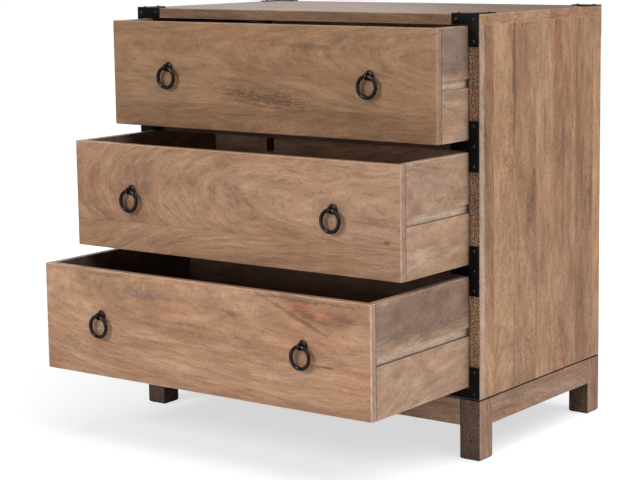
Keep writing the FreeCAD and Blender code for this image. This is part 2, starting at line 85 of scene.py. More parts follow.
class Tree:
    def __init__(self, nodeTree):
        self.tree = nodeTree

    def add(self, kind, **settings):
        node = self.tree.nodes.new(kind)
        for name, setting in settings.items():
            setattr(node, name, setting)
        return node

    def put(self, socket, source):
        if isinstance(source, bpy.types.NodeSocket):
            self.tree.links.new(source, socket)
        else:
            socket.default_value = source

    # makes a node with its inputs, by name or number or in their own order, and gives one output
    def make(self, kind, inputs, output=0, **settings):
        node = self.add(kind, **settings)
        for name, source in (inputs.items() if isinstance(inputs, dict) else enumerate(inputs)):
            self.put(node.inputs[name], source)
        return node.outputs[output]

    def math(self, operation, a, b=0.0, clamp=False):
        return self.make("ShaderNodeMath", (a, b), operation=operation, use_clamp=clamp)

    def plus(self, a, b, clamp=False):
        return self.math("ADD", a, b, clamp)

    def minus(self, a, b):
        return self.math("SUBTRACT", a, b)

    def times(self, a, b, clamp=False):
        return self.math("MULTIPLY", a, b, clamp)

    def join(self, x, y, z):
        return self.make("ShaderNodeCombineXYZ", (x, y, z))

    def split(self, vector):
        node = self.add("ShaderNodeSeparateXYZ")
        self.put(node.inputs[0], vector)
        return node.outputs

    def dot(self, a, b):
        return self.make("ShaderNodeVectorMath", (a, b), "Value", operation="DOT_PRODUCT")

    def noise(self, vector, scale, detail=2.0, rough=0.5, distortion=0.0):
        return self.make("ShaderNodeTexNoise", {"Vector": vector, "Scale": scale, "Detail": detail,
                                                "Roughness": rough, "Distortion": distortion}, "Fac")

    def ramp(self, value, low, high, toLow=0.0, toHigh=1.0):
        return self.make("ShaderNodeMapRange", (value, low, high, toLow, toHigh), "Result",
                         interpolation_type="SMOOTHSTEP")

    def mix(self, factor, a, b, blend="MIX"):
        return self.make("ShaderNodeMix", {0: factor, 6: a, 7: b}, 2, data_type="RGBA", blend_type=blend)

    def multiply(self, color, value, factor=1.0):
        return self.mix(factor, color, self.join(value, value, value), "MULTIPLY")

    def bump(self, height, strength, distance):
        return self.make("ShaderNodeBump", {"Strength": strength, "Distance": distance, "Height": height})

    def choose(self, factor, first, second):
        return self.make("ShaderNodeMixShader", (factor, first, second))

    def place(self):
        return self.add("ShaderNodeTexCoord").outputs["Object"]

    def normal(self):
        return self.add("ShaderNodeNewGeometry").outputs["True Normal"]


def freshTree(owner):
    owner.use_nodes = True
    owner.node_tree.nodes.clear()
    return Tree(owner.node_tree)


def opaque(color, shade=1.0):
    return (*(part * shade for part in color), 1.0)


def grey(value):
    return (value, value, value, 1.0)


# Inputs are given as a default value or as the kind of socket

def newGroup(name, inputs, outputs, treeKind="ShaderNodeTree"):
    group = bpy.data.node_groups.new(name, treeKind)
    for label, value in inputs.items():
        kind = value if isinstance(value, str) else "Float"
        socket = group.interface.new_socket(name=label, in_out="INPUT", socket_type="NodeSocket" + kind)
        if kind == "Float":
            socket.default_value = value
    for label, kind in outputs.items():
        group.interface.new_socket(name=label, in_out="OUTPUT", socket_type="NodeSocket" + kind)
    tree = Tree(group)
    return group, tree, tree.add("NodeGroupInput").outputs, tree.add("NodeGroupOutput").inputs


# Solid wood: growth rings cut by the board, fibres, open pores, glue lines and a pale wash

# per layer: how it lies, waves per metre, noise scale, detail, roughness and distortion, ends of its ramp.
# waves go along and across (still), along, over the rings and mixed (flowing), or over the rings, along
# and across (ringed)
woodLayers = {
    "warp": ("still", (3.4, 10.0), (1.0, 3.0, 0.5, 0.4)),
    "ripple": ("still", (16.0, 34.0), (1.0, 2.0)),
    "bands": ("ringed", (72.0, 1.1, 2.0), (1.0, 5.0, 0.7), (0.36, 0.66)),
    "lines": ("ringed", (230.0, 4.0, 9.0), (1.0, 3.0, 0.65), (0.5, 0.7)),
    "cloud": ("still", (3.4, 10.0), (0.9, 4.0, 0.6, 1.0), (0.33, 0.69)),
    "lineFade": ("still", (3.4, 10.0), (1.9, 2.0), (0.38, 0.62, 0.12, 1.0)),
    "bundle": ("still", (2.6, 50.0), (1.0, 4.0, 0.6, 0.8), (0.56, 0.76)),
    "bundleFade": ("still", (3.4, 10.0), (0.7, 2.0), (0.44, 0.62)),
    "red": ("still", (3.4, 10.0), (1.4, 3.0, 0.6), (0.48, 0.7)),
    "stripe": ("flowing", (1.3, 34.0, 5.0), (1.0, 3.0, 0.6)),
    "patch": ("still", (3.4, 10.0), (2.6, 2.0), (0.36, 0.66, 0.3, 1.0)),
    "wash": ("still", (7.0, 26.0), (1.0, 5.0, 0.7), (0.42, 0.72)),
    "fibre": ("flowing", (24.0, 640.0, 60.0), (1.0, 2.0)),
    "coarse": ("flowing", (14.0, 230.0, 30.0), (1.0, 4.0, 0.75)),
    "pore": ("flowing", (110.0, 520.0, 160.0), (1.0, 2.0, 0.6), (0.53, 0.66)),
    "fill": ("flowing", (130.0, 500.0, 150.0), (1.37, 2.0, 0.6), (0.55, 0.68)),
}
grain = {
    # how single boards differ, how far the grain bends, how the pith runs
    "seedStep": 3.37, "slideAlong": 9.0, "slideAcross": 3.0, "warp": 0.1, "ripple": 0.012,
    "ringRipple": 0.004, "pithLean": 0.7, "pithDrift": 0.14,
    # strength of each layer in the colour
    "cloud": 0.46, "bands": 0.36, "board": 0.4, "lines": 0.38, "bundle": 0.45, "red": 0.5,
    "redTint": (1.06, 0.88, 0.8), "darkStripe": (0.74, 0.69, 0.66), "paleStripe": (1.18, 1.17, 1.13),
    "darkEdges": (0.52, 0.68), "paleEdges": (0.48, 0.34), "grit": (520.0, 2.0, 0.6),
    "base": 0.1, "fibre": 0.4, "coarse": 1.4, "rowBase": 0.45, "rowLines": 0.75,
    "pore": 0.6, "fill": 0.36, "fillBase": 0.25, "seam": 0.22, "seamEdges": (0.0002, 0.001),
    # grain mask, roughness and height
    "poreGrain": 0.3, "rough": 0.44, "fibreRough": 0.16, "poreRough": 0.2,
    "fibreHeight": 0.25, "poreDepth": 0.7, "seamDepth": 0.6,
}


def makeWoodGroup():
    group, t, given, out = newGroup("solidWood", {
        "Vector": "Vector", "Board Width": 0.1, "Board Shift": 0.0, "Split": 0.5, "Seed": 0.0,
        "Heart X": 0.0, "Heart Y": 0.0, "Lower Heart": 0.0, "Spread": 1.0, "Slope": 0.15,
        "Heart Length": 0.25, "Waviness": 0.6, "Light": "Color", "Dark": "Color", "Streak": "Color",
        "Wash": "Color", "Filled": "Color", "Wash Amount": 0.2, "Figure": 0.5, "Pores": 0.5, "Stripes": 0.5,
    }, {"Color": "Color", "Grain": "Float", "Roughness": "Float", "Height": "Float"})
    x, y, z = t.split(given["Vector"])
    place = t.plus(t.math("DIVIDE", y, given["Board Width"]), given["Board Shift"])
    whole = t.math("FLOOR", place)
    part = t.minus(place, whole)
    upper = t.math("GREATER_THAN", part, given["Split"])
    board = t.plus(t.times(whole, 2.0), upper)
    seed = t.plus(t.times(board, grain["seedStep"]), given["Seed"])
    r, g, b = t.split(t.make("ShaderNodeTexWhiteNoise", {"W": seed}, "Color", noise_dimensions="1D"))
    along = t.plus(x, t.times(r, grain["slideAlong"]))
    across = t.plus(y, t.times(g, grain["slideAcross"]))
    places = {}

    def still(lengthwise, crosswise):
        return t.join(t.times(along, lengthwise), t.times(across, crosswise), t.times(z, crosswise))

    def ringed(ringwise, lengthwise, crosswise):
        return t.join(t.times(reach, ringwise), t.times(along, lengthwise), t.times(across, crosswise))

    def flowing(lengthwise, ringwise, mixing):
        return t.join(t.times(along, lengthwise), t.times(reach, ringwise), t.times(t.plus(across, z), mixing))

    def layer(name):
        way, waves, noise, *ramp = woodLayers[name]
        if (way, waves) not in places:
            places[way, waves] = {"still": still, "ringed": ringed, "flowing": flowing}[way](*waves)
        value = t.noise(places[way, waves], *noise)
        return t.ramp(value, *ramp[0]) if ramp else value

    # slow bending of the grain, shared by rings and fibres
    warp = t.minus(layer("warp"), 0.5)
    ripple = t.minus(layer("ripple"), 0.5)
    bend = t.plus(t.times(warp, grain["warp"]), t.times(ripple, grain["ripple"]))
    bend = t.times(bend, given["Waviness"])

    # growth rings round a pith that runs askew to the board
    reachX = t.minus(t.plus(x, t.times(t.minus(r, 0.5), given["Spread"])), given["Heart X"])
    reachX = t.times(t.math("TANH", t.math("DIVIDE", reachX, given["Heart Length"])), given["Heart Length"])
    reachX = t.plus(t.times(reachX, given["Slope"]), t.times(z, grain["pithLean"]))
    middle = t.times(t.plus(given["Split"], upper), 0.5)
    reachY = t.times(t.minus(part, middle), given["Board Width"])
    drift = t.times(t.times(t.minus(g, 0.5), given["Spread"]), grain["pithDrift"])
    drift = t.plus(drift, t.times(t.minus(1.0, upper), given["Lower Heart"]))
    reachY = t.plus(t.minus(reachY, given["Heart Y"]), t.plus(drift, bend))
    reach = t.math("SQRT", t.plus(t.times(reachX, reachX), t.times(reachY, reachY)))
    reach = t.plus(reach, t.times(ripple, grain["ringRipple"]))
    bands = layer("bands")
    lines = layer("lines")

    # colour: broad clouds, rings, the tone of the single board
    tone = t.plus(t.times(layer("cloud"), grain["cloud"]),
                  t.times(t.times(bands, given["Figure"]), grain["bands"]))
    tone = t.plus(tone, t.times(t.minus(b, 0.5), grain["board"]), clamp=True)
    color = t.mix(tone, given["Light"], given["Dark"])
    lineMask = t.times(t.times(lines, layer("lineFade")), t.times(given["Figure"], grain["lines"]))
    color = t.mix(lineMask, color, given["Streak"])
    bundle = t.times(layer("bundle"), layer("bundleFade"))
    color = t.mix(t.times(bundle, grain["bundle"]), color, given["Streak"])
    color = t.mix(t.times(layer("red"), grain["red"]), color, opaque(grain["redTint"]), "MULTIPLY")
    stripe = layer("stripe")
    for kind in ("dark", "pale"):
        mask = t.times(t.ramp(stripe, *grain[kind + "Edges"]), given["Stripes"])
        color = t.mix(mask, color, opaque(grain[kind + "Stripe"]), "MULTIPLY")

    # pale wash left in hollows, fibres, pores dark where deep and pale where filled
    patch = layer("patch")
    wash = layer("wash")
    color = t.mix(t.times(wash, given["Wash Amount"]), color, given["Wash"])
    fibre = layer("fibre")
    coarse = layer("coarse")
    grit = t.times(t.minus(t.noise(given["Vector"], *grain["grit"]), 0.5), given["Pores"])
    shade = t.plus(t.times(fibre, grain["fibre"]), t.times(coarse, grain["coarse"]))
    shade = t.plus(t.plus(grain["base"], grit), shade)
    color = t.multiply(color, shade)
    rows = t.plus(grain["rowBase"], t.times(lines, grain["rowLines"]))
    pore = t.times(t.times(layer("pore"), rows), t.times(patch, given["Pores"]), clamp=True)
    fill = t.times(t.plus(grain["fillBase"], wash), given["Pores"])
    fill = t.times(layer("fill"), fill, clamp=True)
    color = t.mix(t.times(pore, grain["pore"]), color, given["Streak"])
    color = t.mix(t.times(fill, grain["fill"]), color, given["Filled"])

    # glue lines between the boards
    seam = t.math("MINIMUM", part, t.math("ABSOLUTE", t.minus(part, given["Split"])))
    seam = t.times(t.math("MINIMUM", seam, t.minus(1.0, part)), given["Board Width"])
    seam = t.ramp(seam, *grain["seamEdges"], 1.0, 0.0)
    color = t.mix(t.times(seam, grain["seam"]), color, given["Streak"])
    t.put(out["Color"], color)
    t.put(out["Grain"], t.minus(shade, t.times(pore, grain["poreGrain"])))
    uneven = t.plus(t.times(fibre, grain["fibreRough"]), t.times(pore, grain["poreRough"]))
    t.put(out["Roughness"], t.plus(grain["rough"], uneven))
    height = t.times(t.plus(fibre, coarse), grain["fibreHeight"])
    height = t.minus(height, t.times(pore, grain["poreDepth"]))
    t.put(out["Height"], t.minus(height, t.times(seam, grain["seamDepth"])))
    return group


# A stain or a knot: a soft patch with a frayed edge, drawn out along the grain

stain = {"waves": (22.0, 260.0), "detail": 3.0, "rough": 0.6, "fray": 4.0, "edges": (0.55, 1.1)}


def makePatchGroup():
    group, t, given, out = newGroup("grainPatch", {
        "Vector": "Vector", "Centre X": 0.0, "Centre Y": 0.0, "Half Length": 0.05, "Half Width": 0.02,
        "Tilt": 0.0, "Fray": 0.5, "Fineness": 1.0,
    }, {"Mask": "Float"})
    x, y, z = t.split(given["Vector"])
    dx = t.minus(x, given["Centre X"])
    dy = t.plus(t.minus(y, given["Centre Y"]), t.times(dx, given["Tilt"]))
    u = t.math("DIVIDE", dx, given["Half Length"])
    v = t.math("DIVIDE", dy, given["Half Width"])
    away = t.math("SQRT", t.plus(t.times(u, u), t.times(v, v)))
    waves = t.join(t.times(x, stain["waves"][0]), t.times(y, stain["waves"][1]), 0.0)
    frayed = t.minus(t.noise(waves, given["Fineness"], stain["detail"], stain["rough"]), 0.5)
    frayed = t.times(frayed, t.times(given["Fray"], stain["fray"]))
    t.put(out["Mask"], t.ramp(t.plus(away, frayed), *stain["edges"], 1.0, 0.0))
    return group


# Edge wear: the arrises rub pale on wood and bright on iron

wear = {"samples": 4, "turnedEdges": (0.9, 0.999), "bentEdges": (0.86, 0.995), "noise": (60.0, 4.0, 0.65),
        "noiseEdges": (0.34, 0.6, 0.3, 1.0)}


def makeWearGroup():
    group, t, given, out = newGroup("edgeWear", {
        "Color": "Color", "Worn": "Color", "Reach": 0.002, "Amount": 0.5, "Rounding": 0.0,
    }, {"Color": "Color", "Mask": "Float"})
    flat = t.normal()
    bent = t.dot(t.make("ShaderNodeBevel", {"Radius": given["Reach"]}, samples=wear["samples"]), flat)
    x, y, z = (t.math("ABSOLUTE", side) for side in t.split(flat))
    square = t.math("MAXIMUM", x, t.math("MAXIMUM", y, z))
    turned = t.times(t.ramp(square, *wear["turnedEdges"], 1.0, 0.0), given["Rounding"])
    mask = t.math("MAXIMUM", t.ramp(bent, *wear["bentEdges"], 1.0, 0.0), turned)
    mask = t.times(mask, t.ramp(t.noise(t.place(), *wear["noise"]), *wear["noiseEdges"]))
    mask = t.times(mask, given["Amount"], clamp=True)
    t.put(out["Color"], t.mix(mask, given["Color"], given["Worn"]))
    t.put(out["Mask"], mask)
    return group


# Painted crevice shade: ambient occlusion darkens crevices, corners and recesses towards a dark colour

crevice = {"samples": 5, "edges": (0.25, 0.8), "color": (0.035, 0.022, 0.016)}


def makeCreviceGroup():
    group, t, given, out = newGroup("creviceDirt", {
        "Color": "Color", "Reach": 0.012, "Amount": 0.6,
    }, {"Color": "Color", "Mask": "Float"})
    openness = t.make("ShaderNodeAmbientOcclusion", {"Distance": given["Reach"]}, "AO",
                      samples=crevice["samples"])
    mask = t.times(t.ramp(openness, *crevice["edges"], 1.0, 0.0), given["Amount"])
    t.put(out["Color"], t.mix(mask, given["Color"], opaque(crevice["color"])))
    t.put(out["Mask"], mask)
    return group


# Painted shade by facing: upward, forward and inward faces take a painted shade factor; sideways end grain
# takes a pale mottled tint, and front faces take speckles

faceShadeAndSpeck = {"facing": 0.7, "upEdges": (0.5, 0.95), "inward": -0.1,
           "mottle": (90.0, 4.0, 0.7), "mottleEdges": (0.36, 0.62, 0.45, 1.0),
           "speck": (330.0, 3.0, 0.7), "speckEdges": (0.36, 0.66), "speckMiddle": 0.42}


def makeFaceShadeGroup():
    group, t, given, out = newGroup("faceTone", {
        "Color": "Color", "Ends": 0.0, "End Color": "Color", "Up": 1.0, "Front": 1.0, "Speckle": 0.0,
        "Inner": 1.0,
    }, {"Color": "Color"})
    facing = t.split(t.normal())
    where = t.place()
    sideways = t.math("GREATER_THAN", t.math("ABSOLUTE", facing[0]), faceShadeAndSpeck["facing"])
    mottled = t.ramp(t.noise(where, *faceShadeAndSpeck["mottle"]), *faceShadeAndSpeck["mottleEdges"])
    endMask = t.times(t.times(sideways, mottled), given["Ends"])
    color = t.mix(endMask, given["Color"], given["End Color"])
    color = t.multiply(color, given["Up"], t.ramp(facing[2], *faceShadeAndSpeck["upEdges"]))
    speck = t.minus(t.ramp(t.noise(where, *faceShadeAndSpeck["speck"]), *faceShadeAndSpeck["speckEdges"]), faceShadeAndSpeck["speckMiddle"])
    speck = t.plus(given["Front"], t.times(speck, given["Speckle"]))
    color = t.multiply(color, speck, t.math("LESS_THAN", facing[1], -faceShadeAndSpeck["facing"]))
    inward = t.math("LESS_THAN", t.times(t.split(where)[0], facing[0]), faceShadeAndSpeck["inward"])
    t.put(out["Color"], t.multiply(color, given["Inner"], inward))
    return group


# Painted shade of a joint: a dark line where the gap lies in shadow, with its shine taken away

jointLine = {"beside": 0.9, "edges": (0.4, 1.0, 0.95, 0.0), "color": (0.022, 0.014, 0.01)}


def makeJointShadeGroup():
    group, t, given, out = newGroup("jointLine", {
        "Color": "Color", "Axis": "Vector", "Joint": 0.0, "Reach": 0.002,
    }, {"Color": "Color", "Mask": "Float"})
    away = t.math("ABSOLUTE", t.minus(t.dot(t.place(), given["Axis"]), given["Joint"]))
    away = t.math("DIVIDE", away, given["Reach"])
    facing = t.math("ABSOLUTE", t.dot(t.normal(), given["Axis"]))
    beside = t.math("LESS_THAN", facing, jointLine["beside"])
    mask = t.times(t.ramp(away, *jointLine["edges"]), beside)
    t.put(out["Color"], t.mix(mask, given["Color"], opaque(jointLine["color"])))
    t.put(out["Mask"], mask)
    return group


woodGroup = makeWoodGroup()
wearGroup = makeWearGroup()
patchGroup = makePatchGroup()
creviceGroup = makeCreviceGroup()
faceShadeGroup = makeFaceShadeGroup()
jointShadeGroup = makeJointShadeGroup()

# Wood finishes: palettes first. A look's "grain" names the row axes along, across and through its board

tan = {
    "light": (0.48, 0.282, 0.162), "dark": (0.29, 0.152, 0.086), "streak": (0.13, 0.066, 0.042),
    "wash": (0.54, 0.36, 0.25), "worn": (0.66, 0.53, 0.43),
}
golden = {**tan, "light": (0.5, 0.285, 0.15), "dark": (0.295, 0.15, 0.076)}
pale = {
    "light": (0.54, 0.345, 0.225), "dark": (0.37, 0.22, 0.14), "streak": (0.17, 0.1, 0.07),
    "wash": (0.62, 0.48, 0.385), "worn": (0.68, 0.57, 0.48),
}
rough = {
    "light": (0.37, 0.212, 0.135), "dark": (0.21, 0.116, 0.075), "streak": (0.095, 0.054, 0.038),
    "wash": (0.5, 0.385, 0.31), "worn": (0.62, 0.51, 0.43),
}
shady = {
    "light": (0.26, 0.165, 0.118), "dark": (0.17, 0.105, 0.074), "streak": (0.09, 0.056, 0.041),
    "wash": (0.34, 0.26, 0.215), "worn": (0.45, 0.36, 0.3),
}
black = {
    "light": (0.02, 0.016, 0.014), "dark": (0.011, 0.009, 0.008), "streak": (0.006, 0.005, 0.004),
    "wash": (0.035, 0.03, 0.026), "worn": (0.08, 0.065, 0.055),
}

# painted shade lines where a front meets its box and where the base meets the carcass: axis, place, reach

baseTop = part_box("side_panel_left")[0].z
baseJoint = ((0, 0, 1), baseTop, 0.0026)


def frontJoint(name):
    return (0, 1, 0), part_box(f"drawer_{name}_front")[1].y, 0.0018


# cuts: what boards of one kind share, over the ones before
# in every cut the crevice amount sets the strength of the painted crevice shade
plainCut = {
    "shade": 1.0, "heart": (0.0, 0.0), "lowerHeart": 0.0, "heartLength": 0.25, "spread": 1.0, "slope": 0.12,
    "waviness": 0.5, "washAmount": 0.3, "figure": 0.6, "pores": 1.0, "stripes": 0.28, "wear": 0.3, "dirt": 0.7,
    "specular": 0.2,
}
drawerCut = {**plainCut, "width": 0.2266, "shift": -0.6103}
# faces: up, front and inner are painted shade factors for upward, forward and inward faces; ends tints the end
# grain
frontCut = {
    **drawerCut, "spread": 0.0, "waviness": 0.6, "washAmount": 0.25, "figure": 0.9, "pores": 0.8,
    "faces": {"ends": 0.3, "up": 0.6}, "grain": "XZY",
}
backCut = {
    **drawerCut, "slope": 0.14, "washAmount": 0.35, "figure": 0.5, "pores": 0.7, "wear": 0.4, "grain": "XZY",
    "split": 0.5,
}
baseCut = {**plainCut, "washAmount": 0.35, "width": 0.3, "shift": 0.27, "split": 0.6}
darkCut = {**plainCut, "figure": 0.3, "pores": 0.3, "width": 0.5}

# patches: centre along and across, half length and width, tilt, fray and its fineness, colour, strength
woodLooks = {
    # the fronts' shades darken towards the top drawer: partly the boards' own tone, partly painted shade, as
    # the light is weaker higher up
    "frontTop": {
        **golden, **frontCut, "split": 0.22, "seed": 4.0, "shade": 0.535, "lowerHeart": 0.11, "waviness": 0.7,
        "heart": (0.16, 0.012), "slope": 0.11, "washAmount": 0.14, "wear": 0.15, "joint": frontJoint("top"),
        "patches": (
            (0.007, 0.657, 0.085, 0.0125, 0.09, 1.6, 2.4, (0.11, 0.055, 0.032), 0.7),
            (-0.3, 0.7, 0.07, 0.05, 0.0, 0.3, 1.0, (0.52, 0.33, 0.19), 0.35),
            (-0.2, 0.612, 0.12, 0.014, 0.0, 0.7, 1.0, (0.33, 0.17, 0.1), 0.5),
            (0.1, 0.757, 0.075, 0.007, 0.04, 0.8, 1.0, (0.15, 0.085, 0.055), 0.4),
            (0.02, 0.606, 0.34, 0.014, 0.01, 0.6, 1.0, (0.5, 0.285, 0.155), 0.4),
        ),
    },
    "frontMiddle": {
        **tan, **frontCut, "split": 0.243, "seed": 14.0, "shade": 0.735, "lowerHeart": 0.12,
        "heart": (-0.22, -0.017), "slope": 0.26, "heartLength": 0.22, "figure": 1.0, "wear": 0.5,
        "joint": frontJoint("middle"),
        "patches": (
            (0.352, 0.4316, 0.009, 0.0048, 0.0, 0.2, 1.6, (0.055, 0.028, 0.02), 0.95),
            (0.335, 0.432, 0.05, 0.012, 0.0, 0.7, 1.0, (0.42, 0.22, 0.125), 0.45),
            (-0.205, 0.49, 0.022, 0.014, 0.0, 0.6, 1.0, (0.2, 0.13, 0.115), 0.45),
            (0.28, 0.5, 0.24, 0.08, 0.0, 0.5, 1.0, (0.58, 0.36, 0.24), 0.35),
        ),
    },
    "frontBottom": {
        **tan, **frontCut, "split": 0.369, "seed": 27.0, "shade": 0.86, "lowerHeart": -0.12,
        "heart": (-0.46, 0.02), "heartLength": 0.3, "pores": 0.7, "wear": 0.7,
        "faces": {"ends": 0.45, "up": 0.6}, "joint": frontJoint("bottom"),
        "patches": (
            (0.255, 0.3165, 0.085, 0.018, 0.16, 0.45, 1.6, (0.34, 0.145, 0.078), 0.8),
            (0.224, 0.303, 0.08, 0.005, 0.406, 0.9, 1.8, (0.13, 0.07, 0.045), 0.6),
            (0.25, 0.3335, 0.11, 0.0035, 0.0, 0.9, 1.0, (0.14, 0.075, 0.05), 0.6),
            (0.25, 0.3085, 0.036, 0.0075, 0.3, 1.1, 1.8, (0.14, 0.07, 0.045), 0.65),
            (0.322, 0.312, 0.036, 0.007, 0.1, 1.2, 1.0, (0.18, 0.09, 0.06), 0.55),
            (-0.14, 0.307, 0.065, 0.011, 0.02, 0.6, 1.0, (0.29, 0.19, 0.16), 0.5),
            (-0.23, 0.334, 0.06, 0.0035, 0.0, 1.2, 1.0, (0.2, 0.12, 0.09), 0.6),
            (0.2, 0.143, 0.21, 0.009, 0.0, 0.7, 1.0, (0.3, 0.15, 0.09), 0.5),
            (0.285, 0.2225, 0.022, 0.0028, 0.0, 0.7, 2.5, (0.05, 0.028, 0.02), 0.85),
            (0.27, 0.25, 0.1, 0.032, 0.0, 0.6, 1.0, (0.46, 0.245, 0.155), 0.4),
        ),
    },
    # painted shade: its front face is darkened, and a painted shade line runs along its joint with the base
    "sidePanel": {
        **tan, **plainCut, "grain": "ZYX", "width": 0.151, "shift": 0.12, "split": 0.46, "seed": 11.0,
        "shade": 0.915, "stripes": 1.0, "waviness": 0.3, "spread": 1.2, "slope": 0.1, "figure": 0.85,
        "wear": 0.35, "faces": {"front": 0.47, "speckle": 0.9}, "joint": ((0, 0, 1), baseTop, 0.0016),
        "patches": (
            (0.47, -0.0575, 9.0, 0.0085, 0.0, 0.3, 1.0, (0.6, 0.46, 0.38), 0.6),
            (0.72, 0.053, 0.16, 0.008, 0.0, 0.8, 1.0, (0.16, 0.095, 0.075), 0.6),
            (0.62, 0.165, 0.12, 0.003, 0.02, 0.5, 1.0, (0.3, 0.15, 0.09), 0.5),
            (0.5, 0.235, 0.16, 0.005, 0.0, 0.9, 1.0, (0.17, 0.1, 0.075), 0.45),
        ),
    },
    # painted shade: its top and front faces are darkened
    "topBoard": {
        **tan, **plainCut, "grain": "XYZ", "width": 0.151, "shift": 0.3, "split": 0.52, "seed": 23.0,
        "shade": 0.95, "faces": {"up": 0.35, "front": 0.49}, "specular": 0.12, "spread": 1.2,
        "washAmount": 0.5, "figure": 0.7, "wear": 0.35,
    },
    # painted shade: its upward and inward faces are darkened
    "drawerSide": {
        **pale, **drawerCut, "grain": "YZX", "split": 0.45, "seed": 37.0, "shade": 0.87,
        "faces": {"up": 0.65, "inner": 0.42}, "waviness": 0.3, "heartLength": 0.12, "dirt": 0.3,
        "grooves": True, "spread": 0.8, "slope": 0.1, "washAmount": 0.4, "pores": 0.8, "wear": 0.6,
        "patches": (
            (-0.2, 0.302, 0.34, 0.052, 0.0, 0.25, 1.0, (0.22, 0.138, 0.105), 0.75),
            (-0.22, 0.535, 0.1, 0.03, 0.0, 0.6, 1.0, (0.33, 0.215, 0.155), 0.35),
            (-0.1, 0.755, 0.2, 0.052, 0.0, 0.25, 1.0, (0.235, 0.165, 0.135), 0.75),
        ),
    },
    "innerBoard": {**shady, **backCut, "seed": 41.0, "shade": 1.5},
    # lit and shaded copies of one back: the bottom drawer's back darker as painted shade, the other backs
    # paler as painted light
    "drawerBack": {**shady, **backCut, "seed": 47.0, "shade": 1.1},
    "paleBack": {**pale, **backCut, "seed": 47.0, "shade": 1.3, "washAmount": 0.6},
    "panelBoard": {
        **shady, **plainCut, "grain": "XYZ", "width": 0.24, "shift": 0.1, "split": 0.5, "seed": 53.0,
        "slope": 0.14, "figure": 0.5, "pores": 0.6, "wear": 0.2,
    },
    # the base rails carry the painted shade line along their joint with the carcass
    "crossRail": {**rough, **baseCut, "grain": "XZY", "seed": 61.0, "shade": 1.03, "joint": baseJoint},
    # painted shade: the divider rails are darkened as a whole, as they sit in the drawers' shade
    "dividerRail": {
        **rough, **baseCut, "grain": "XZY", "seed": 62.0, "shade": 0.42, "washAmount": 0.2, "figure": 0.5,
        "pores": 0.8, "wear": 0.2,
    },
    "sideRail": {**rough, **baseCut, "grain": "YZX", "seed": 67.0, "shade": 1.08, "joint": baseJoint},
    # painted shade: its front and inward faces are darkened, and a painted shade line runs along the base
    # joint
    "legPost": {
        **rough, **plainCut, "grain": "ZXY", "width": 0.4, "shift": 0.5, "split": 0.98, "seed": 71.0,
        "shade": 1.07, "faces": {"front": 0.26, "inner": 0.22, "speckle": 0.33}, "wear": 0.4,
        "joint": baseJoint,
    },
    "runnerWood": {**black, **darkCut, "grain": "YZX", "shift": 0.0, "split": 0.5, "seed": 83.0},
    "stopWood": {**black, **darkCut, "grain": "ZXY", "shift": 0.2, "split": 0.9, "seed": 89.0, "shade": 0.8},
}


def newMaterial(name):
    material = bpy.data.materials.new(name)
    t = freshTree(material)
    shader = t.add("ShaderNodeBsdfPrincipled")
    t.put(t.add("ShaderNodeOutputMaterial").inputs["Surface"], shader.outputs[0])
    return material, t, shader.inputs


def useGroup(t, group, **values):
    node = t.add("ShaderNodeGroup", node_tree=group)
    for socket in node.inputs:
        key = socket.name[0].lower() + socket.name[1:].replace(" ", "")
        if key in values:
            t.put(socket, values[key])
    return node.outputs


woodWear = {"reach": 0.0018, "rounding": 1.0, "dirtReach": 0.012, "endColor": (0.54, 0.41, 0.33),
            "bump": 0.4, "depth": 0.0006}
# the drawer sides' grooves turn pale, partly wear from the runners and partly painted light on the groove
# floor, with a painted shadow along the dark lower lip
groove = {"shallow": 0.001, "deep": 0.009, "play": 0.0008, "strength": 0.8, "lipFacing": 0.7,
          "color": (0.9, 0.68, 0.52), "lipColor": (0.05, 0.03, 0.022)}


def grooveWearLightAndShadow(t, where, color, grained):
    upward = t.split(t.normal())[2]
    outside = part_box("drawer_top_side_right")[1].x
    away = t.math("ABSOLUTE", where["X"])
    sunk = t.times(t.math("LESS_THAN", away, outside - groove["shallow"]),
                   t.math("GREATER_THAN", away, outside - groove["deep"]))
    for drawer in drawerNames:
        low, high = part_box(f"runner_{drawer}_right")
        tall = t.math("ABSOLUTE", t.minus(where["Z"], (low.z + high.z) / 2))
        inGroove = t.times(sunk, t.math("LESS_THAN", tall, (high.z - low.z) / 2 + groove["play"]))
        # the groove floor's pale colour: wear and painted light
        wornAndLitGroove = t.mix(1.0, opaque(groove["color"]), grained, "MULTIPLY")
        color = t.mix(t.times(inGroove, groove["strength"]), color, wornAndLitGroove)
        # the lower lip: painted shadow
        lip = t.times(inGroove, t.math("GREATER_THAN", upward, groove["lipFacing"]))
        color = t.mix(t.times(lip, groove["strength"]), color, opaque(groove["lipColor"]))
    return color


